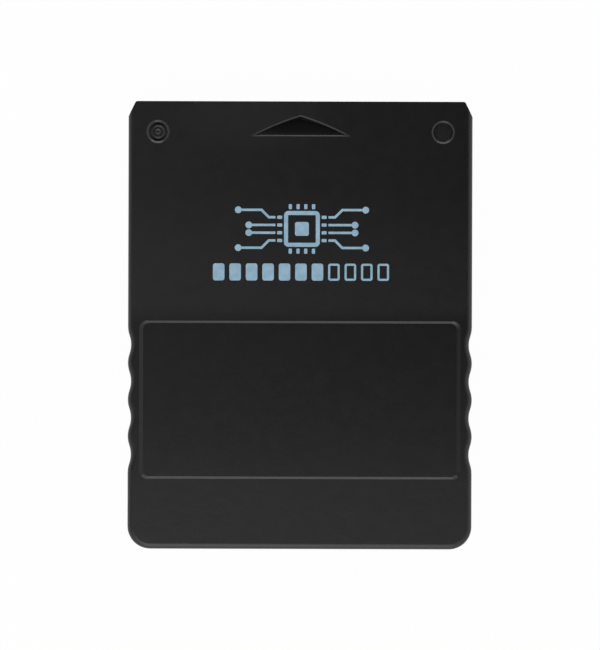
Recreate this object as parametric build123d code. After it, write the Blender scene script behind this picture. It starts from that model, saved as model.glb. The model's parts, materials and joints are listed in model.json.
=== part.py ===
from build123d import *
import os

# Overall size: X across, +Y towards the contact end, Z up out of the front face
card_width = 42.3
card_length = 55.0
card_thickness = 8.0

# Plan outline and edges
entry_chamfer_width = 0.95
entry_chamfer_length = 1.9
entry_corner_radius = 0.35
tail_corner_radius = 2.8
front_edge_round = 0.7
back_edge_chamfer = 0.5
seam_chamfer = 0.12

# Finger grip: a row of shallow scallops on both long edges
grip_from_tail = 18.35
scallop_count = 4
scallop_pitch = 4.5
scallop_depth = 0.38

# Label area on the front, centred on the grip
label_side_margin = 1.42
label_length = 19.4
label_depth = 0.2
label_corner_radius = 1.0
label_side_slope_width = 0.48
label_end_slope_width = 0.28

# Arrow recess: bowed flanks, bevelled all round, with a shelf along its base and a dip towards its tip
arrow_half_width = 6.2
arrow_length = 2.62
arrow_bow = 0.19
arrow_tip_from_nose = 1.66
arrow_bevel_width = 0.17
arrow_bevel_depth = 0.13
arrow_shelf_length = 0.9
arrow_shelf_depth = 0.2
arrow_tip_depth = 0.65

# Round moulding marks over the locating posts: a bevelled rim, then a steep wall
mark_radius = 1.42
mark_bevel_width = 0.22
mark_bevel_depth = 0.16
mark_wall_width = 0.2
mark_depth = 0.5
gate_disc_radius = 0.84
gate_disc_bevel_width = 0.2
gate_disc_bevel_height = 0.14
gate_disc_sink = 0.12
gate_nub_radius = 0.34
gate_nub_bevel = 0.16
gate_nub_height = 0.1

# Walls
side_wall = 1.6
tail_wall = 1.6
nose_wall = 1.6
front_skin = 1.3
rear_skin = 1.2
cavity_corner_radius = 1.2

# Lip joint between the shells, with snap ridges
lip_thickness = 0.65
lip_height = 0.8
lip_clearance = 0.05
snap_ridge_height = 0.2
snap_ridge_length = 4.0
snap_from_nose = 15.0
snap_from_tail = 6.0

# Locating posts of the front shell and their sockets in the rear shell
post_side_inset = 3.65
post_nose_inset = 3.75
post_radius = 1.5
pin_radius = 0.9
pin_tip_chamfer = 0.2
pin_end_gap = 0.2
pin_clearance = 0.03
post_root = 0.3

# Circuit board
contact_face_height = 2.8
board_thickness = 1.0
board_setback = 1.0
board_clearance = 0.2
board_hole_clearance = 0.15
board_tail_margin = 2.3

# Contact mouth: windows in the rear shell, one for each group of contacts
contact_groups = (
    ("data", "command", "supply"),
    ("ground", "logic_supply"),
    ("select", "clock", "acknowledge"),
)
window_post_gap = 2.5
window_length = 6.0
window_back_wall = 1.2
divider_width = 1.4
contact_width = 2.2
contact_thickness = 0.1
contact_nose_gap = 0.4
contact_wall_gap = 0.4

# Ribs of both shells that hold the tail of the board between them
rib_side_inset = 3.0
rib_tail_inset = 1.8
rib_length = 3.4
rib_thickness = 1.0

# Components on the board, in rows from the contact end
rows_from_nose = 6.5
row_gap = 1.0
flash_length = 18.4
flash_width = 12.0
flash_height = 1.0
flash_standoff = 0.1
flash_edge_chamfer = 0.15
lead_count = 24
lead_pitch = 0.5
lead_width = 0.22
lead_thickness = 0.15
lead_reach = 0.8
lead_shoulder = 0.2
lead_slant = 0.15
controller_radius = 5.0
controller_height = 1.15
controller_rim_width = 0.6
controller_rim_height = 0.7
controller_crown_radius = 2.6
crystal_length = 5.0
crystal_width = 3.2
crystal_base_height = 0.7
crystal_lid_height = 0.35
crystal_lid_inset = 0.3
reservoir_length = 3.5
reservoir_width = 2.8
reservoir_height = 1.15
chip_length = 1.6
chip_width = 0.8
capacitor_height = 0.8
resistor_height = 0.45
chip_end_length = 0.35
chip_end_step = 0.04
capacitor_spacing = 6.0
crystal_capacitor_spacing = 3.0

# Planes and lines that follow from the sizes above
edge = card_width / 2
nose = card_length / 2
tail = -card_length / 2
entry_end = nose - entry_chamfer_length
grip_y = tail + grip_from_tail
board_top = contact_face_height + board_thickness
seam = board_top
ceiling = card_thickness - front_skin
board_half_width = edge - side_wall - board_clearance
board_nose = nose - board_setback
window_back = nose - window_length
block_back = window_back - window_back_wall
nose_post_x = edge - post_side_inset
nose_post_y = nose - post_nose_inset
contact_field = 2 * (nose_post_x - window_post_gap)
contact_count = sum(len(group) for group in contact_groups)
contact_pitch = (contact_field - divider_width * (len(contact_groups) - 1)) / contact_count
resistor_y = nose - rows_from_nose - chip_length / 2
flash_y = resistor_y - chip_length / 2 - row_gap - flash_width / 2
capacitor_y = flash_y - flash_width / 2 - row_gap - chip_width / 2
controller_y = capacitor_y - chip_width / 2 - row_gap - controller_radius
board_tail = controller_y - controller_radius - board_tail_margin
rib_x = board_half_width - rib_side_inset
rib_y = board_tail + rib_tail_inset
both_sides = (-1, 1)


def card_outline():
    """Plan of the card: lead-in chamfers at the nose, scallops, rounded tail."""
    grip_top = grip_y + scallop_count * scallop_pitch / 2
    grip_end = grip_y - scallop_count * scallop_pitch / 2
    quarter = scallop_pitch / 4
    flank = edge - scallop_depth / 2
    with BuildSketch() as plan:
        with BuildLine():
            FilletPolyline(
                (0, nose),
                (edge - entry_chamfer_width, nose),
                (edge, entry_end),
                radius=entry_corner_radius,
            )
            Line((edge, entry_end), (edge, grip_top))
            TangentArc((edge, grip_top), (flank, grip_top - quarter), tangent=(0, -1))
            for index in range(scallop_count):
                hollow = grip_top - (4 * index + 2) * quarter
                ThreePointArc(
                    (flank, hollow + quarter),
                    (edge - scallop_depth, hollow),
                    (flank, hollow - quarter),
                )
            for index in range(1, scallop_count):
                crest = grip_top - index * scallop_pitch
                ThreePointArc((flank, crest + quarter), (edge, crest), (flank, crest - quarter))
            TangentArc((edge, grip_end), (flank, grip_end + quarter), tangent=(0, 1))
            FilletPolyline((edge, grip_end), (edge, tail), (0, tail), radius=tail_corner_radius)
            mirror(about=Plane.YZ)
        make_face()
    return plan.sketch


def shell_blank(low, high):
    """Solid half of the case between two heights."""
    return extrude(Pos(0, 0, low) * card_outline(), high - low).clean()


def long_edges(face):
    """Edges of a face along both sides and the tail, without the contact end."""
    return [rim for rim in face.edges() if rim.center().Y < entry_end]


def front_blank():
    """Front half with its long edges rounded and its seam edge broken."""
    blank = shell_blank(seam, card_thickness)
    blank = fillet(long_edges(blank.faces().sort_by(Axis.Z)[-1]), front_edge_round)
    return chamfer(blank.faces().sort_by(Axis.Z)[0].edges(), seam_chamfer)


def rear_blank():
    """Rear half with its long edges chamfered and its seam edge broken."""
    blank = shell_blank(0, seam)
    blank = chamfer(long_edges(blank.faces().sort_by(Axis.Z)[0]), back_edge_chamfer)
    return chamfer(blank.faces().sort_by(Axis.Z)[-1].edges(), seam_chamfer)


def inside_plan(grow, nose_end):
    """Plan of the hollow from the tail wall to nose_end, grown by a margin."""
    width = 2 * (edge - side_wall + grow)
    tail_end = tail + tail_wall - grow
    plan = RectangleRounded(width, nose_end - tail_end, cavity_corner_radius + grow)
    return Pos(0, (tail_end + nose_end) / 2) * plan


def hollow(low, high, nose_end):
    """Block that hollows a shell out between two heights."""
    return extrude(Pos(0, 0, low) * inside_plan(0, nose_end), high - low)


def lip_band(thickness, height, nose_end):
    """U-shaped band on the seam, along both sides and the tail."""
    past_nose = nose + card_length
    band = inside_plan(thickness, past_nose) - inside_plan(0, 2 * past_nose)
    band &= Pos(0, (nose_end + 2 * tail) / 2) * Rectangle(2 * card_width, nose_end - 2 * tail)
    return extrude(Pos(0, 0, seam) * band, height)


def snap_bars(height, length):
    """Square bars on edge along the lip's outer faces: ridges, or the grooves for them."""
    section = Polygon((-height, 0), (0, -height), (height, 0), (0, height), align=None)
    bar = extrude(Plane.XZ * section, length / 2, both=True)
    x = edge - side_wall + lip_thickness
    z = seam + lip_height / 2
    bars = []
    for side in both_sides:
        for y in (nose - snap_from_nose, tail + snap_from_tail):
            bars.append(Pos(side * x, y, z) * bar)
    return bars


def upright(radius, low, high):
    """Cylinder standing between two heights."""
    return extrude(Pos(0, 0, low) * Circle(radius), high - low)


def turned(points):
    """Solid of revolution about Z from points given as radius and height."""
    profile = make_face(Polyline(*points, close=True))
    return revolve(Plane.XZ * profile, axis=Axis.Z)


def locating_post():
    """Post with a shoulder at the seam and a lead-in pin below it."""
    pin_end = rear_skin + pin_end_gap
    root = ceiling + post_root
    return turned(
        [
            (0, pin_end),
            (pin_radius - pin_tip_chamfer, pin_end),
            (pin_radius, pin_end + pin_tip_chamfer),
            (pin_radius, seam),
            (post_radius, seam),
            (post_radius, root),
            (0, root),
        ]
    )


def label_recess():
    """Shallow pocket with sloping edges for a label on the front."""
    width = card_width - 2 * label_side_margin
    floor_width = width - 2 * label_side_slope_width
    floor_length = label_length - 2 * label_end_slope_width
    floor_corner = label_corner_radius - label_end_slope_width
    rim = RectangleRounded(width, label_length, label_corner_radius)
    floor = RectangleRounded(floor_width, floor_length, floor_corner)
    sections = [
        Pos(0, grip_y, card_thickness) * rim,
        Pos(0, grip_y, card_thickness - label_depth) * floor,
    ]
    return loft(sections, ruled=True)


def arrow_plan(base_y, tip_y):
    """Triangle that points at the nose, with flanks that bow out a little."""
    flank_y = (base_y + tip_y) / 2 + arrow_bow
    with BuildSketch() as plan:
        with BuildLine():
            Line((-arrow_half_width, base_y), (arrow_half_width, base_y))
            for side in both_sides:
                ThreePointArc(
                    (side * arrow_half_width, base_y),
                    (side * arrow_half_width / 2, flank_y),
                    (0, tip_y),
                )
        make_face()
    return plan.sketch


def arrow_recess():
    """Arrow pocket, bevelled all round, with a shelf along its base and deepest at its tip."""
    tip_y = nose - arrow_tip_from_nose
    base_y = tip_y - arrow_length
    rim = arrow_plan(base_y, tip_y)
    floor = offset(rim, -arrow_bevel_width, kind=Kind.INTERSECTION)
    bevel_foot = card_thickness - arrow_bevel_depth
    bevel = loft([Pos(0, 0, card_thickness) * rim, Pos(0, 0, bevel_foot) * floor], ruled=True)
    shelf_start = base_y + arrow_bevel_width
    section = Polygon(
        (shelf_start, card_thickness),
        (shelf_start, bevel_foot),
        (shelf_start + arrow_shelf_length, card_thickness - arrow_shelf_depth),
        (tip_y, card_thickness - arrow_tip_depth),
        (tip_y, card_thickness),
        align=None,
    )
    dip = extrude(Plane.YZ * section, arrow_half_width, both=True)
    return bevel + (extrude(floor, card_thickness) & dip)


def round_mark(*relief):
    """Round mark with a bevelled rim and a steep wall, round a relief on its floor."""
    top = card_thickness
    wall_radius = mark_radius - mark_bevel_width
    return turned(
        [
            (0, top + mark_depth),
            (mark_radius, top + mark_depth),
            (mark_radius, top),
            (wall_radius, top - mark_bevel_depth),
            (wall_radius - mark_wall_width, top - mark_depth),
            *relief,
        ]
    )


def plain_mark():
    """Round mark with a flat floor."""
    return round_mark((0, card_thickness - mark_depth))


def gate_mark():
    """Round mark with the raised disc and nub that the moulding gate leaves."""
    disc_top = card_thickness - gate_disc_sink
    nub_top = disc_top + gate_nub_height
    return round_mark(
        (gate_disc_radius, disc_top - gate_disc_bevel_height),
        (gate_disc_radius - gate_disc_bevel_width, disc_top),
        (gate_nub_radius, disc_top),
        (gate_nub_radius - gate_nub_bevel, nub_top),
        (0, nub_top),
    )


def board_rib(side, low, high):
    """Rib over or under one tail corner of the board."""
    plan = Pos(side * rib_x, rib_y, low) * Rectangle(rib_length, rib_thickness)
    return extrude(plan, high - low)


def front_shell():
    """Upper half of the case, with posts that reach through the board."""
    shell = front_blank()
    shell -= hollow(seam, ceiling, nose - nose_wall)
    shell -= lip_band(lip_thickness + lip_clearance, lip_height + lip_clearance, block_back + lip_clearance)
    shell -= snap_bars(snap_ridge_height + 2 * lip_clearance, snap_ridge_length + 2 * lip_clearance)
    for side in both_sides:
        shell += Pos(side * nose_post_x, nose_post_y) * locating_post()
        shell += board_rib(side, board_top, ceiling + post_root)
    shell -= label_recess()
    shell -= arrow_recess()
    shell -= Pos(-nose_post_x, nose_post_y) * gate_mark()
    shell -= Pos(nose_post_x, nose_post_y) * plain_mark()
    return shell


def window_spans():
    """Left and right end of each contact window."""
    spans = []
    left = -contact_field / 2
    for group in contact_groups:
        right = left + contact_pitch * len(group)
        spans.append((left, right))
        left = right + divider_width
    return spans


def contact_places():
    """Centre line of every contact, by signal."""
    places = {}
    for group, (left, right) in zip(contact_groups, window_spans()):
        for index, signal in enumerate(group):
            places[signal] = left + contact_pitch * (index + 0.5)
    return places


def between(x_range, y_range, z_range):
    """Block that spans three ranges."""
    x0, x1 = x_range
    y0, y1 = y_range
    plan = Pos((x0 + x1) / 2, (y0 + y1) / 2) * Rectangle(x1 - x0, y1 - y0)
    return extrude(Pos(0, 0, z_range[0]) * plan, z_range[1] - z_range[0])


def rear_shell():
    """Lower half of the case: board bed, contact mouth, lip and pin sockets."""
    shell = rear_blank()
    inner_half = edge - side_wall
    shell -= hollow(rear_skin, card_thickness, block_back)
    shell -= between(
        (-inner_half, inner_half),
        (board_tail, board_nose + board_clearance),
        (contact_face_height, card_thickness),
    )
    for span in window_spans():
        shell -= between(span, (window_back, card_length), (-card_thickness, card_thickness))
    shell += lip_band(lip_thickness, lip_height, block_back)
    shell += snap_bars(snap_ridge_height, snap_ridge_length)
    socket_bore = upright(pin_radius + pin_clearance, rear_skin, card_thickness)
    for side in both_sides:
        shell += board_rib(side, rear_skin - post_root, contact_face_height)
        shell -= Pos(side * nose_post_x, nose_post_y) * socket_bore
    return shell


def circuit_board():
    """Board with holes for the two posts at the contact end."""
    plan = Pos(0, (board_nose + board_tail) / 2) * Rectangle(2 * board_half_width, board_nose - board_tail)
    for side in both_sides:
        plan -= Pos(side * nose_post_x, nose_post_y) * Circle(pin_radius + board_hole_clearance)
    return extrude(Pos(0, 0, contact_face_height) * plan, board_thickness)


def contact(x):
    """Gold pad on the underside of the board, inside its window."""
    nose_end = board_nose - contact_nose_gap
    back_end = window_back + contact_wall_gap
    pad = Rectangle(contact_width, nose_end - back_end)
    return extrude(Pos(x, (nose_end + back_end) / 2, contact_face_height) * pad, -contact_thickness)


def flash_memory_body():
    """Thin moulded package, held off the board by its leads."""
    low = board_top + flash_standoff
    plan = Pos(0, flash_y, low) * Rectangle(flash_length, flash_width)
    body = extrude(plan, flash_height)
    return chamfer(body.faces().sort_by(Axis.Z)[-1].edges(), flash_edge_chamfer)


def flash_memory_leads():
    """Gull-wing leads in a row at each end of the package."""
    middle = flash_standoff + flash_height / 2
    half = lead_thickness / 2
    foot = lead_shoulder + lead_slant
    profile = Polygon(
        (0, middle + half),
        (lead_shoulder + half, middle + half),
        (foot + half, lead_thickness),
        (lead_reach, lead_thickness),
        (lead_reach, 0),
        (foot - half, 0),
        (lead_shoulder - half, middle - half),
        (0, middle - half),
        align=None,
    )
    lead = extrude(Plane.XZ * profile, lead_width / 2, both=True)
    leads = []
    for turn in (0, 180):
        for index in range(lead_count):
            place = Pos(flash_length / 2, (index - (lead_count - 1) / 2) * lead_pitch)
            leads.append(Pos(0, flash_y, board_top) * Rot(0, 0, turn) * place * lead)
    return Compound(leads)


def controller_glob_top():
    """Low epoxy dome over the controller die: steep at its rim, flat on its crown."""
    dome = turned(
        [
            (0, 0),
            (controller_radius, 0),
            (controller_radius - controller_rim_width, controller_rim_height),
            (controller_crown_radius, controller_height),
            (0, controller_height),
        ]
    )
    return Pos(0, controller_y, board_top) * dome


def standing_box(x, y, z, length, width, height):
    """Box on a level, centred on a place."""
    return extrude(Pos(x, y, z) * Rectangle(length, width), height)


def chip_component(height):
    """Chip capacitor or resistor along X, with raised end caps."""
    inner_width = chip_width - 2 * chip_end_step
    chip = standing_box(0, 0, 0, chip_length, inner_width, height - chip_end_step)
    for side in both_sides:
        x = side * (chip_length - chip_end_length) / 2
        chip += standing_box(x, 0, 0, chip_end_length, chip_width, height)
    return chip


def crystal_x():
    """Centre line of the crystal, beside the controller."""
    return controller_radius + row_gap + crystal_width / 2


def passive_parts():
    """Crystal, capacitors and resistors, by name."""
    parts = {}
    x = crystal_x()
    inset = 2 * crystal_lid_inset
    lid_z = board_top + crystal_base_height
    parts["crystal_base"] = standing_box(
        x, controller_y, board_top, crystal_width, crystal_length, crystal_base_height
    )
    parts["crystal_lid"] = standing_box(
        x, controller_y, lid_z, crystal_width - inset, crystal_length - inset, crystal_lid_height
    )
    reservoir_x = -(controller_radius + row_gap + reservoir_width / 2)
    parts["reservoir_capacitor"] = standing_box(
        reservoir_x, controller_y, board_top, reservoir_width, reservoir_length, reservoir_height
    )
    capacitor = chip_component(capacitor_height)
    row = ("flash_supply", "controller_supply", "input_supply")
    for index, supply in enumerate(row):
        place = Pos((index - 1) * capacitor_spacing, capacitor_y, board_top)
        parts[supply + "_capacitor"] = place * capacitor
    load_x = x + crystal_width / 2 + row_gap + chip_width / 2
    for side, end in zip(both_sides, ("input", "output")):
        place = Pos(load_x, controller_y + side * crystal_capacitor_spacing / 2, board_top)
        parts["crystal_capacitor_" + end] = place * Rot(0, 0, 90) * capacitor
    resistor = chip_component(resistor_height)
    places = contact_places()
    for signal in ("data", "command", "select", "clock", "acknowledge"):
        parts[signal + "_resistor"] = Pos(places[signal], resistor_y, board_top) * Rot(0, 0, 90) * resistor
    return parts


def all_parts():
    """Every piece of the card, by node name."""
    parts = {
        "front_shell": front_shell(),
        "rear_shell": rear_shell(),
        "circuit_board": circuit_board(),
        "flash_memory_body": flash_memory_body(),
        "flash_memory_leads": flash_memory_leads(),
        "controller_glob_top": controller_glob_top(),
    }
    for signal, x in contact_places().items():
        parts["contact_" + signal] = contact(x)
    parts.update(passive_parts())
    return parts


os.makedirs("parts", exist_ok=True)
for node, solid in all_parts().items():
    export_step(solid, "parts/" + node + ".step")
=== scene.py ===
import json
import math

import bmesh
import bpy
from mathutils import Matrix, Vector


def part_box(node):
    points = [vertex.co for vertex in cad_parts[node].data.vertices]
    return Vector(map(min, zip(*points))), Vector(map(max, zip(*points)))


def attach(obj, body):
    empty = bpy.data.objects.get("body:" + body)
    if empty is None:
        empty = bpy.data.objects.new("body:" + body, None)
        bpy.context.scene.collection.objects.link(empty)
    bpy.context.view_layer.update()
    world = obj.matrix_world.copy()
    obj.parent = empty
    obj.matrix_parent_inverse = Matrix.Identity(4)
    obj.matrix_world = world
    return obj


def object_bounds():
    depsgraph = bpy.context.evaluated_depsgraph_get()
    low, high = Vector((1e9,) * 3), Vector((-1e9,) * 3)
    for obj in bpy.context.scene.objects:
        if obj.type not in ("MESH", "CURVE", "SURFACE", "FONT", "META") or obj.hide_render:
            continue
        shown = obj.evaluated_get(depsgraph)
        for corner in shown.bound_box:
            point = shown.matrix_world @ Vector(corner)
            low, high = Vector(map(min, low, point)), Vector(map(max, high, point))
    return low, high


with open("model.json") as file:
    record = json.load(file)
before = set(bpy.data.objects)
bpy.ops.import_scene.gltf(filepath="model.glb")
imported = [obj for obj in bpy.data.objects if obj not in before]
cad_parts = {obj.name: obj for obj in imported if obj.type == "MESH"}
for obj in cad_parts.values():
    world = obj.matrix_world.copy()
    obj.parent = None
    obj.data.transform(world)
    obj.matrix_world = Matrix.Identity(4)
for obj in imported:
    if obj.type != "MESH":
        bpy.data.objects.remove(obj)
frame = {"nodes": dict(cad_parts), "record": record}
cad_low, cad_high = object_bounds()
front_face = cad_high.z

# Lengths are in metres; sizes on the card are written in millimetres times MM
MM = 0.001

# The photograph: its frame, and where and how large the card is in it
PHOTO_WIDTH_PX = 600
PHOTO_HEIGHT_PX = 650
CARD_CENTRE_PX = (300.0, 325.45)
CARD_WIDTH_PX = 344.65
CARD_ROLL_DEG = 0.17
LENS_MM = 150.0
SENSOR_MM = 36.0

# Slow warp of the moulded front: it leans most at the upper end of the label area, and the lean
# fades quickly above it and slowly down to the label's lower end
WARP_Y = 0.4 * MM
WARP_LEAN = math.radians(2.4)
WARP_ABOVE = 2.45 * MM
WARP_ABOVE_POWER = 2.0
WARP_BELOW = 19.5 * MM
WARP_BELOW_POWER = 0.5
WARP_SMOOTHER = 0.035

# Drift of the finish over the front: smoother towards the right, from the label's lower end upwards,
# and smoother towards the nose, down to the depth that fingers and slots reach
DRIFT_Y = -17 * MM
DRIFT_LENGTH = 22 * MM
DRIFT_HALF_WIDTH = 21 * MM
DRIFT_SMOOTHER = 0.04
NOSE_DRIFT_Y = 8 * MM
NOSE_DRIFT_LENGTH = 9 * MM
NOSE_SMOOTHER = 0.038
WORN_DEPTH = 0.3 * MM

# Dull patch between the gate mark and the arrow: its centre, its reach across and along, and how much
# rougher it is
DULL_CENTRE = (-6 * MM, 26 * MM)
DULL_REACH = (11 * MM, 5 * MM)
DULL_ROUGHER = 0.055

# Polish of the arrow recess: its middle, half sizes and depth, and the depths at which the polish
# starts and is full
ARROW_Y = 24.5 * MM
ARROW_HALF_WIDTH = 6.2 * MM
ARROW_HALF_LENGTH = 1.4 * MM
ARROW_DEPTH = 0.7 * MM
POLISH_START = 0.11 * MM
POLISH_FULL = 0.21 * MM
POLISH_SMOOTHER = 0.22

# Gate mark: its centre and depth, the middle and half width of its polished rim and of the groove
# inside it, and the painted light that lightens the groove's shade with a paler colour, weaker fore and
# aft
GATE_CENTRE = (-17.5 * MM, 23.75 * MM)
GATE_DEPTH = 0.6 * MM
GATE_RIM = (1.31 * MM, 0.11 * MM)
GATE_GROOVE = (1.01 * MM, 0.19 * MM)
GATE_SMOOTHER = 0.14
GROOVE_LIGHT_PAINT = (0.036, 0.036, 0.036)
GROOVE_LIGHT_LEAST = 0.2

# Case plastic: its two blacks, the faint warmth of its gloss, its roughness, its grain and its mottle
CASE_DARKER = (0.0042, 0.0042, 0.0043)
CASE_PALER = (0.0053, 0.0051, 0.0052)
CASE_GLOSS = (1.0, 0.95, 0.975, 1.0)
CASE_ROUGHNESS = 0.33
GRAIN_SIZE = 0.16 * MM
GRAIN_ROUGHER = 0.04
GRAIN_HEIGHT = 0.006 * MM
MOTTLE_SIZE = 1.4 * MM
MOTTLE_ROUGHER = 0.05
MOTTLE_HEIGHT = 0.014 * MM

# Printed sign on the front: a chip with tracks, over a row of gauge bars
PRINT_THICKNESS = 0.012 * MM
CHIP_CENTRE = (0.2 * MM, 11.85 * MM)
CHIP_SIDE = 4.4 * MM
CHIP_LINE = 0.5 * MM
CHIP_CORNER = 0.55 * MM
CHIP_CORE = 1.7 * MM
CHIP_CORE_CORNER = 0.25 * MM
CHIP_PINS = 4
PIN_PITCH = 0.95 * MM
PIN_WIDTH = 0.4 * MM
PIN_LENGTH = 0.62 * MM
PIN_GAP = 0.22 * MM
PIN_CORNER = PIN_WIDTH / 4
TRACK_WIDTH = 0.3 * MM
TRACK_STRAIGHT = 0.8 * MM
TRACK_RISE = 0.9 * MM
TRACK_OUTER_REACH = 7.4 * MM
TRACK_INNER_REACH = 6.1 * MM
TRACK_END_RADIUS = 0.42 * MM
TRACK_END_SEGMENTS = 28
GAUGE_CENTRE = (0.1 * MM, 6.55 * MM)
GAUGE_BARS = 11
GAUGE_FULL = 7
GAUGE_PITCH = 2.02 * MM
GAUGE_BAR_WIDTH = 1.42 * MM
GAUGE_BAR_HEIGHT = 2.1 * MM
GAUGE_BAR_CORNER = 0.28 * MM
GAUGE_BAR_LINE = 0.26 * MM

# Floor under the card
FLOOR_HALF_WIDTH = 2.0
FLOOR_GAP = 0.01 * MM
FLOOR_GLOW = 0.97
FLOOR_PAPER = (0.82, 0.82, 0.82)
WHITE = (1.0, 1.0, 1.0)

# Light tent: the direction of its dim opening, the cosines of the opening's rim and middle, and its
# brightness
OPENING_AXIS = (-0.12, 0.42, 0.9)
OPENING_RIM = 0.4
OPENING_MIDDLE = 0.95
OPENING_LEVEL = 0.02

# Soft boxes, by name: place, width and height, and power
LAMPS = {
    "high_lamp": ((-0.1, -0.22, 0.49), (0.24, 0.24), 0.38),
    "tail_lamp": ((-0.05, -0.6, 0.5), (0.5, 0.5), 1.2),
    "nose_lamp": ((0.0, 0.78, 0.325), (0.9, 0.3), 2.4),
    "nose_left_lamp": ((-0.423, 0.542, 0.5), (0.3, 0.3), 0.9),
    "nose_right_lamp": ((0.423, 0.542, 0.5), (0.3, 0.3), 0.9),
}


class Tint:
    """A socket of a node tree, on which plain expressions make Math nodes."""

    def __init__(self, tree, socket=None):
        self.tree = tree
        self.socket = socket

    def make(self, kind, settings=None, sockets=None):
        """Adds a node, applies its settings, then fills its sockets with values or links."""
        node = self.tree.nodes.new(kind)
        for name, value in (settings or {}).items():
            setattr(node, name, value)
        for key, value in (sockets or {}).items():
            if isinstance(value, Tint):
                self.tree.links.new(value.socket, node.inputs[key])
            else:
                node.inputs[key].default_value = value
        return node

    def of(self, kind, settings=None, sockets=None, output=0):
        """As make, and gives one output of the new node."""
        return Tint(self.tree, self.make(kind, settings, sockets).outputs[output])

    def math(self, operation, *values):
        """A Math node over numbers and links."""
        return self.of("ShaderNodeMath", {"operation": operation}, dict(enumerate(values)))

    def __add__(self, other):
        return self.math("ADD", self, other)

    def __sub__(self, other):
        return self.math("SUBTRACT", self, other)

    def __rsub__(self, other):
        return self.math("SUBTRACT", other, self)

    def __mul__(self, other):
        return self.math("MULTIPLY", self, other)

    def __truediv__(self, other):
        return self.math("DIVIDE", self, other)

    def __gt__(self, other):
        return self.math("GREATER_THAN", self, other)

    def __lt__(self, other):
        return self.math("LESS_THAN", self, other)

    def __abs__(self):
        return self.math("ABSOLUTE", self)

    __radd__ = __add__
    __rmul__ = __mul__

    def place(self, centre=(0, 0, 0)):
        """Object coordinates, counted from a centre."""
        coordinates = self.of("ShaderNodeTexCoord", output="Object")
        shift = tuple(-part for part in centre)
        return self.of("ShaderNodeMapping", sockets={"Vector": coordinates, "Location": shift})

    def parts(self):
        """The three numbers of a vector."""
        node = self.make("ShaderNodeSeparateXYZ", sockets={"Vector": self})
        return [Tint(self.tree, output) for output in node.outputs]

    def noise(self, size, detail=2.0, stretch=(1, 1, 1)):
        """Noise from 0 to 1 over this vector, with lumps of about one size."""
        scaled = self.of("ShaderNodeMapping", sockets={"Vector": self, "Scale": stretch})
        sockets = {"Vector": scaled, "Scale": 1 / size, "Detail": detail}
        return self.of("ShaderNodeTexNoise", sockets=sockets)

    def held(self):
        """This value kept between 0 and 1."""
        return self.math("MINIMUM", self.math("MAXIMUM", self, 0.0), 1.0)

    def between(self, low, high, to_low=0.0, to_high=1.0):
        """This value eased from one range to another."""
        sockets = {0: self, 1: low, 2: high, 3: to_low, 4: to_high}
        return self.of("ShaderNodeMapRange", {"interpolation_type": "SMOOTHSTEP"}, sockets)

    def mix(self, first, second):
        """From the first colour to the second as this value goes from 0 to 1."""
        sockets = {0: self, 6: colour(first), 7: colour(second)}
        return self.of("ShaderNodeMix", {"data_type": "RGBA"}, sockets, output=2)

    def bump(self, height):
        """A normal from this value as a relief of that height."""
        return self.of("ShaderNodeBump", sockets={"Height": self, "Distance": height})


def colour(value):
    """A colour as four numbers, or a link as it is."""
    return value if isinstance(value, Tint) else (*value, 1.0)


def finish(name, **constants):
    """New material; gives a Tint of its tree, and a function that feeds its shader and gives it."""
    material = bpy.data.materials.new(name)
    material.use_nodes = True
    tree = material.node_tree
    shader = tree.nodes["Principled BSDF"]
    for socket, value in constants.items():
        shader.inputs[socket.replace("_", " ")].default_value = value

    def feed(**links):
        for socket, link in links.items():
            tree.links.new(link.socket, shader.inputs[socket.replace("_", " ")])
        return material

    return Tint(tree), feed


def front_warp(tint):
    """How far the slow warp leans, and the relief that gives that lean."""
    y = tint.place((0, WARP_Y, 0)).parts()[1]
    above = (1 - y / WARP_ABOVE).held()
    below = (y / WARP_BELOW + 1).held()
    fall = WARP_LEAN * WARP_ABOVE / (1 + WARP_ABOVE_POWER)
    rise = WARP_LEAN * WARP_BELOW / (1 + WARP_BELOW_POWER)
    lean = tint.math("POWER", above, WARP_ABOVE_POWER) * tint.math("POWER", below, WARP_BELOW_POWER)
    dip = tint.math("POWER", above, 1 + WARP_ABOVE_POWER) * fall
    climb = tint.math("POWER", below, 1 + WARP_BELOW_POWER) * rise
    return lean, dip - climb


def front_wear(tint):
    """How much smoother the front is from place to place, its deep recesses left out."""
    x, y, z = tint.place((0, DRIFT_Y, front_face)).parts()
    drift = x / DRIFT_HALF_WIDTH * tint.math("MINIMUM", y / DRIFT_LENGTH, 1.0)
    nose_drift = (tint.place((0, NOSE_DRIFT_Y, 0)).parts()[1] / NOSE_DRIFT_LENGTH).held()
    dull_x, dull_y = tint.place((*DULL_CENTRE, front_face)).parts()[:2]
    across = dull_x / DULL_REACH[0]
    along = dull_y / DULL_REACH[1]
    dull = (1 - across * across - along * along).held()
    wear = DRIFT_SMOOTHER * drift + NOSE_SMOOTHER * nose_drift - DULL_ROUGHER * dull
    return (abs(z) < WORN_DEPTH) * wear


def arrow_polish(tint):
    """Polish of the arrow recess: none at its edge, full on its ramp."""
    x, y, z = tint.place((0, ARROW_Y, front_face)).parts()
    depth = abs(z)
    inside = (abs(x) < ARROW_HALF_WIDTH) * (abs(y) < ARROW_HALF_LENGTH) * (depth < ARROW_DEPTH)
    return inside * ((depth - POLISH_START) / (POLISH_FULL - POLISH_START)).held()


def gate_rings(tint):
    """The gate mark's polished rim, and the painted light that makes the groove inside it paler."""
    x, y, z = tint.place((*GATE_CENTRE, front_face)).parts()
    across = x * x
    reach = tint.math("SQRT", across + y * y)
    inside = abs(z) < GATE_DEPTH
    rim = inside * (abs(reach - GATE_RIM[0]) < GATE_RIM[1])
    groove = inside * (abs(reach - GATE_GROOVE[0]) < GATE_GROOVE[1])
    # Painted light: the groove is paler, most at its left and right sides
    groove_light = groove * (GROOVE_LIGHT_LEAST + (1 - GROOVE_LIGHT_LEAST) * across / (reach * reach))
    return rim, groove_light


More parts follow.
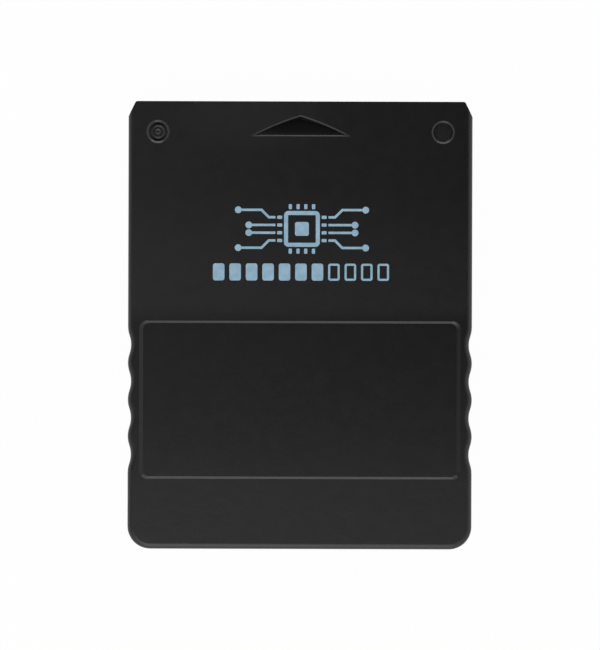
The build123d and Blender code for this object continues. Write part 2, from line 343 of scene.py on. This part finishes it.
def case_plastic():
    """Fine spark-grained black plastic, with the slow warp of a moulded plate."""
    tint, feed = finish("case_plastic", IOR=1.5, Specular_Tint=CASE_GLOSS)
    place = tint.place()
    grain = place.noise(GRAIN_SIZE, detail=1.0)
    mottle = place.noise(MOTTLE_SIZE, detail=3.0)
    lean, relief = front_warp(tint)
    rim, groove_light = gate_rings(tint)
    smoother = (
        WARP_SMOOTHER * lean
        + front_wear(tint)
        + POLISH_SMOOTHER * arrow_polish(tint)
        + GATE_SMOOTHER * rim
    )
    # The gate mark's groove gets a paler colour: painted light over its shade
    return feed(
        Base_Color=groove_light.mix(mottle.mix(CASE_DARKER, CASE_PALER), GROOVE_LIGHT_PAINT),
        Roughness=CASE_ROUGHNESS - smoother + GRAIN_ROUGHER * grain + MOTTLE_ROUGHER * mottle,
        Normal=(relief + GRAIN_HEIGHT * grain + MOTTLE_HEIGHT * mottle).bump(height=1.0),
    )


def print_ink():
    """Pale blue pad-printed ink, a little thin in places."""
    tint, feed = finish("print_ink", IOR=1.48)
    place = tint.place()
    cover = place.noise(size=0.9 * MM, detail=4.0).between(low=0.25, high=0.75)
    speck = place.noise(size=0.12 * MM, detail=1.0)
    return feed(
        Base_Color=cover.mix((0.215, 0.345, 0.45), (0.275, 0.425, 0.535)),
        Roughness=0.5 + 0.1 * speck,
        Normal=speck.bump(height=0.003 * MM),
    )


def board_mask():
    """Green solder mask over copper tracks, with bare laminate at the cut edges."""
    tint, feed = finish("board_mask", IOR=1.52)
    place = tint.place()
    track_pitch = 1.7 * MM
    track_half_share = 0.12
    level_limit = 0.5
    x = place.parts()[0]
    weave = place.noise(size=0.35 * MM, detail=1.0, stretch=(1, 3, 1))
    cloud = place.noise(size=4 * MM)
    track = abs(tint.math("FRACT", x / track_pitch) - 0.5) < track_half_share
    green = cloud.mix((0.012, 0.085, 0.035), (0.018, 0.11, 0.045))
    masked = (track * 0.5).mix(green, (0.05, 0.22, 0.09))
    upright = tint.of("ShaderNodeNewGeometry", output="Normal").parts()[2]
    cut = abs(upright) < level_limit
    return feed(
        Base_Color=cut.mix(masked, (0.42, 0.36, 0.2)),
        Roughness=0.28 + 0.4 * cut + 0.08 * weave,
        Normal=(weave * 0.4 + track).bump(height=0.01 * MM),
    )


def contact_gold():
    """Gold plate, rubbed lengthwise by the slot's springs."""
    tint, feed = finish("contact_gold", Metallic=1.0)
    place = tint.place()
    rub = place.noise(size=0.05 * MM, detail=3.0, stretch=(1, 0.04, 1))
    cloud = place.noise(size=0.8 * MM)
    return feed(
        Base_Color=cloud.mix((0.83, 0.6, 0.25), (0.92, 0.7, 0.34)),
        Roughness=0.18 + 0.2 * rub,
        Normal=rub.bump(height=0.001 * MM),
    )


def lead_tin():
    """Dull tin plate with small crystals."""
    tint, feed = finish("lead_tin", Metallic=1.0)
    place = tint.place()
    crystals = place.noise(size=0.06 * MM, detail=3.0)
    return feed(
        Base_Color=crystals.mix((0.52, 0.52, 0.5), (0.74, 0.74, 0.72)),
        Roughness=0.3 + 0.2 * crystals,
        Normal=crystals.bump(height=0.002 * MM),
    )


def package_mould(node):
    """Black moulding compound with filler specks and a smooth round mark by the first lead."""
    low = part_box(node)[0]
    dot_inset = 1.3 * MM
    dot_radius = 0.45 * MM
    tint, feed = finish("package_mould", IOR=1.5)
    place = tint.place()
    x, y = tint.place((low.x + dot_inset, low.y + dot_inset, 0)).parts()[:2]
    dot = tint.math("SQRT", x * x + y * y) < dot_radius
    specks = place.noise(size=0.07 * MM, detail=2.0)
    fine = specks.between(low=0.35, high=0.8)
    matte = fine.mix((0.018, 0.018, 0.019), (0.045, 0.045, 0.044))
    return feed(
        Base_Color=dot.mix(matte, (0.012, 0.012, 0.013)),
        Roughness=0.62 - 0.35 * dot + 0.1 * specks,
        Normal=((1 - dot) * specks).bump(height=0.006 * MM),
    )


def poured_epoxy():
    """Poured black epoxy, glossy, with a slow unevenness."""
    tint, feed = finish("poured_epoxy", IOR=1.55)
    place = tint.place()
    flow = place.noise(size=2.5 * MM)
    dust = place.noise(size=0.2 * MM, detail=3.0)
    return feed(
        Base_Color=flow.mix((0.008, 0.008, 0.009), (0.014, 0.013, 0.013)),
        Roughness=0.14 + 0.14 * dust,
        Normal=flow.bump(height=0.05 * MM),
    )


def crystal_ceramic():
    """Dark brown fired ceramic."""
    tint, feed = finish("crystal_ceramic", IOR=1.6)
    place = tint.place()
    fired = place.noise(size=0.15 * MM, detail=4.0)
    return feed(
        Base_Color=fired.mix((0.05, 0.038, 0.032), (0.1, 0.078, 0.066)),
        Roughness=0.55 + 0.2 * fired,
        Normal=fired.bump(height=0.004 * MM),
    )


def crystal_steel(node):
    """Plated lid, brighter along its welded rim."""
    low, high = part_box(node)
    middle = (low + high) / 2
    rim_width = 0.35 * MM
    tint, feed = finish("crystal_steel", Metallic=1.0)
    x, y = tint.place(middle).parts()[:2]
    half = (high - low) / 2
    rim = tint.math("MAXIMUM", abs(x) - half.x, abs(y) - half.y) > -rim_width
    brushed = tint.place().noise(size=0.03 * MM, detail=2.0, stretch=(0.05, 1, 1))
    return feed(
        Base_Color=rim.mix((0.62, 0.6, 0.55), (0.75, 0.74, 0.7)),
        Roughness=0.36 - 0.14 * rim + 0.12 * brushed,
        Normal=brushed.bump(height=0.001 * MM),
    )


def end_capped(node, name, first, second, roughness):
    """Chip component: a fired body between two tinned ends."""
    low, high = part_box(node)
    middle = (low + high) / 2
    half = (high - low) / 2
    cap_length = 0.35 * MM
    cap_roughness = 0.36
    tint, feed = finish(name + "_" + node)
    x, y = tint.place(middle).parts()[:2]
    along, reach = (x, half.x) if half.x > half.y else (y, half.y)
    cap = abs(along) > reach - cap_length
    fired = tint.place().noise(size=0.1 * MM, detail=3.0)
    body = fired.mix(first, second)
    return feed(
        Base_Color=cap.mix(body, (0.66, 0.66, 0.64)),
        Metallic=cap,
        Roughness=roughness + (cap_roughness - roughness) * cap + 0.1 * fired,
        Normal=fired.bump(height=0.003 * MM),
    )


def capacitor_ceramic(node):
    """Tan capacitor ceramic."""
    return end_capped(node, "capacitor_ceramic", (0.3, 0.19, 0.1), (0.4, 0.27, 0.16), 0.45)


def resistor_glaze(node):
    """Black resistor glaze."""
    return end_capped(node, "resistor_glaze", (0.012, 0.012, 0.014), (0.024, 0.024, 0.027), 0.25)


def reservoir_case(node):
    """Yellow moulded case with a dark stripe at its positive end."""
    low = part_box(node)[0]
    stripe_start = 0.5 * MM
    stripe_end = 1.1 * MM
    tint, feed = finish("reservoir_case", IOR=1.5)
    x = tint.place(low).parts()[0]
    stripe = (x > stripe_start) * (x < stripe_end)
    grain = tint.place().noise(size=0.08 * MM, detail=3.0)
    body = grain.mix((0.58, 0.33, 0.035), (0.72, 0.45, 0.07))
    return feed(
        Base_Color=stripe.mix(body, (0.16, 0.07, 0.02)),
        Roughness=0.5 + 0.15 * grain,
        Normal=grain.bump(height=0.004 * MM),
    )


# The finish of each node, by the record's material slot
shared = {
    "case_black": case_plastic(),
    "board_green": board_mask(),
    "contact_gold": contact_gold(),
    "lead_tin": lead_tin(),
    "epoxy_black": poured_epoxy(),
    "crystal_ceramic": crystal_ceramic(),
}
by_node = {
    "package_black": package_mould,
    "crystal_steel": crystal_steel,
    "capacitor_ceramic": capacitor_ceramic,
    "resistor_ceramic": resistor_glaze,
    "reservoir_yellow": reservoir_case,
}
for subpart in frame["record"]["subparts"]:
    node = subpart["node"]
    slot = subpart["material_slot"]
    material = shared[slot] if slot in shared else by_node[slot](node)
    frame["nodes"][node].material_slots[0].material = material


def plate(sheet, centre, size, corner, segments=5):
    """Rounded rectangle lying flat; gives its face."""
    before = set(sheet.faces)
    verts = bmesh.ops.create_grid(sheet, x_segments=1, y_segments=1, size=0.5)["verts"]
    bmesh.ops.scale(sheet, vec=(*size, 1), verts=verts)
    bmesh.ops.translate(sheet, vec=(*centre, 0), verts=verts)
    bmesh.ops.bevel(
        sheet,
        geom=verts,
        offset=corner,
        offset_type="OFFSET",
        affect="VERTICES",
        segments=segments,
        profile=0.5,
        material=-1,
    )
    return (set(sheet.faces) - before).pop()


def outlined_plate(sheet, centre, size, corner, line):
    """Rounded rectangle drawn as an outline."""
    face = plate(sheet, centre, size, corner)
    bmesh.ops.inset_region(
        sheet, faces=[face], thickness=line, use_boundary=True, use_even_offset=True
    )
    bmesh.ops.delete(sheet, geom=[face], context="FACES_ONLY")


def dot(sheet, centre, radius):
    """Round spot."""
    there = Matrix.Translation((*centre, 0))
    bmesh.ops.create_circle(sheet, cap_ends=True, segments=TRACK_END_SEGMENTS, radius=radius, matrix=there)


def track(sheet, points, width):
    """Line of one width along points, with mitred bends."""
    points = [Vector(point) for point in points]
    runs = [(b - a).normalized() for a, b in zip(points, points[1:])]
    before = [runs[0], *runs]
    after = [*runs, runs[-1]]
    edge = None
    for point, come, go in zip(points, before, after):
        across = (come.orthogonal() + go.orthogonal()).normalized()
        across *= width / 2 / across.dot(come.orthogonal())
        sides = [(*(point + across), 0), (*(point - across), 0)]
        if edge is None:
            edge = sheet.edges.new([sheet.verts.new(side) for side in sides])
            continue
        grown = bmesh.ops.extrude_edge_only(sheet, edges=[edge])["geom"]
        edge = next(part for part in grown if isinstance(part, bmesh.types.BMEdge))
        middle = (edge.verts[0].co + edge.verts[1].co) / 2
        first, second = edge.verts
        if (first.co - middle).xy.dot(across) < 0:
            first, second = second, first
        first.co, second.co = sides


def printed_piece(name, sheet, ink):
    """Gives a flat drawing its thickness of ink, sets it on the front face and makes it a piece."""
    bmesh.ops.recalc_face_normals(sheet, faces=sheet.faces)
    flat = [*sheet.verts, *sheet.edges, *sheet.faces]
    grown = bmesh.ops.extrude_face_region(sheet, geom=flat, use_keep_orig=True)["geom"]
    top = [part for part in grown if isinstance(part, bmesh.types.BMVert)]
    bmesh.ops.translate(sheet, vec=(0, 0, PRINT_THICKNESS), verts=top)
    bmesh.ops.translate(sheet, vec=(0, 0, front_face), verts=sheet.verts)
    bmesh.ops.recalc_face_normals(sheet, faces=sheet.faces)
    mesh = bpy.data.meshes.new(name)
    sheet.to_mesh(mesh)
    sheet.free()
    mesh.materials.append(ink)
    piece = bpy.data.objects.new(name, mesh)
    bpy.context.scene.collection.objects.link(piece)
    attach(piece, "root")


def chip_sign(ink):
    """Chip seen from above: case outline, core and pins on four sides, with tracks to both sides."""
    sheet = bmesh.new()
    x, y = CHIP_CENTRE
    outlined_plate(sheet, CHIP_CENTRE, (CHIP_SIDE, CHIP_SIDE), CHIP_CORNER, CHIP_LINE)
    plate(sheet, CHIP_CENTRE, (CHIP_CORE, CHIP_CORE), CHIP_CORE_CORNER)
    pin_middle = CHIP_SIDE / 2 + PIN_GAP + PIN_LENGTH / 2
    upright_pin = (PIN_WIDTH, PIN_LENGTH)
    lying_pin = (PIN_LENGTH, PIN_WIDTH)
    pin_places = [(index - (CHIP_PINS - 1) / 2) * PIN_PITCH for index in range(CHIP_PINS)]
    for along in pin_places:
        for side in (-1, 1):
            plate(sheet, (x + along, y + side * pin_middle), upright_pin, PIN_CORNER)
            plate(sheet, (x + side * pin_middle, y + along), lying_pin, PIN_CORNER)
    start = CHIP_SIDE / 2 + PIN_GAP + PIN_LENGTH + PIN_GAP
    bend = start + TRACK_STRAIGHT
    for side in (-1, 1):
        for along in pin_places:
            outer = abs(along) > PIN_PITCH
            turn = math.copysign(TRACK_RISE if outer else 0.0, along)
            reach = TRACK_OUTER_REACH if outer else TRACK_INNER_REACH
            points = [
                (x + side * start, y + along),
                (x + side * bend, y + along),
            ]
            if outer:
                points.append((x + side * (bend + TRACK_RISE), y + along + turn))
            points.append((x + side * reach, y + along + turn))
            track(sheet, points, TRACK_WIDTH)
            dot(sheet, (x + side * (reach + TRACK_END_RADIUS), y + along + turn), TRACK_END_RADIUS)
    printed_piece("front_print_chip", sheet, ink)


def storage_gauge(ink):
    """Row of bars, the first ones full and the rest in outline."""
    sheet = bmesh.new()
    x, y = GAUGE_CENTRE
    size = (GAUGE_BAR_WIDTH, GAUGE_BAR_HEIGHT)
    for index in range(GAUGE_BARS):
        centre = (x + (index - (GAUGE_BARS - 1) / 2) * GAUGE_PITCH, y)
        if index < GAUGE_FULL:
            plate(sheet, centre, size, GAUGE_BAR_CORNER)
        else:
            outlined_plate(sheet, centre, size, GAUGE_BAR_CORNER, GAUGE_BAR_LINE)
    printed_piece("front_print_gauge", sheet, ink)


ink = print_ink()
chip_sign(ink)
storage_gauge(ink)


def pale_floor():
    """Pale floor that the camera and reflections see as white, and that keeps the shadow."""
    sheet = bmesh.new()
    bmesh.ops.create_grid(sheet, x_segments=1, y_segments=1, size=FLOOR_HALF_WIDTH)
    bmesh.ops.translate(sheet, vec=(0, 0, cad_low.z - FLOOR_GAP), verts=sheet.verts)
    mesh = bpy.data.meshes.new("floor")
    sheet.to_mesh(mesh)
    sheet.free()
    floor = bpy.data.objects.new("floor", mesh)
    bpy.context.scene.collection.objects.link(floor)
    material = bpy.data.materials.new("floor_white")
    material.use_nodes = True
    tree = material.node_tree
    tree.nodes.clear()
    tint = Tint(tree)
    rays = tint.make("ShaderNodeLightPath")
    kinds = ("Camera", "Glossy", "Transmission")
    seen = [Tint(tree, rays.outputs[f"Is {kind} Ray"]) for kind in kinds]
    share = tint.math("MINIMUM", seen[0] + seen[1] + seen[2], 1.0) * FLOOR_GLOW
    paper = tint.of("ShaderNodeBsdfDiffuse", sockets={"Color": colour(FLOOR_PAPER)})
    white = tint.of("ShaderNodeEmission", sockets={"Color": colour(WHITE), "Strength": 1.0})
    both = tint.of("ShaderNodeMixShader", sockets={0: share, 1: paper, 2: white})
    tint.make("ShaderNodeOutputMaterial", sockets={"Surface": both})
    mesh.materials.append(material)


def studio_sky():
    """Light tent: white all round, with a dim opening over the contact end."""
    world = bpy.data.worlds.new("studio_sky")
    bpy.context.scene.world = world
    world.use_nodes = True
    tree = world.node_tree
    tree.nodes.clear()
    tint = Tint(tree)
    x, y, z = tint.of("ShaderNodeTexCoord", output="Generated").parts()
    towards_x, towards_y, towards_z = Vector(OPENING_AXIS).normalized()
    inward = x * towards_x + y * towards_y + z * towards_z
    level = inward.between(OPENING_RIM, OPENING_MIDDLE, 1.0, OPENING_LEVEL)
    sky = tint.of("ShaderNodeBackground", sockets={"Color": colour(WHITE), "Strength": level})
    tint.make("ShaderNodeOutputWorld", sockets={"Surface": sky})


def soft_lamp(name, place, size, watts):
    """Soft box, aimed at the card, that the camera doesn't see."""
    data = bpy.data.lights.new(name, "AREA")
    data.shape = "RECTANGLE"
    data.size, data.size_y = size
    data.energy = watts
    lamp = bpy.data.objects.new(name, data)
    lamp.location = place
    lamp.rotation_euler = (-Vector(place)).to_track_quat("-Z", "Y").to_euler()
    lamp.visible_camera = False
    bpy.context.scene.collection.objects.link(lamp)


def photo_camera():
    """Camera straight above the front, framed as the photograph."""
    px_per_metre = CARD_WIDTH_PX / (cad_high.x - cad_low.x)
    distance = LENS_MM / SENSOR_MM * PHOTO_HEIGHT_PX / px_per_metre
    data = bpy.data.cameras.new("camera")
    data.lens = LENS_MM
    data.sensor_width = SENSOR_MM
    data.clip_start = distance / 10
    data.clip_end = distance * 100
    camera = bpy.data.objects.new("camera", data)
    centre = (cad_low + cad_high) / 2
    across = (PHOTO_WIDTH_PX / 2 - CARD_CENTRE_PX[0]) / px_per_metre
    down = (PHOTO_HEIGHT_PX / 2 - CARD_CENTRE_PX[1]) / px_per_metre
    camera.location = (centre.x + across, centre.y - down, cad_high.z + distance)
    camera.rotation_euler = (0, 0, math.radians(CARD_ROLL_DEG))
    bpy.context.scene.collection.objects.link(camera)
    bpy.context.scene.camera = camera


pale_floor()
studio_sky()
for name, lamp in LAMPS.items():
    soft_lamp(name, *lamp)
photo_camera()
bpy.context.scene.view_settings.view_transform = "Standard"
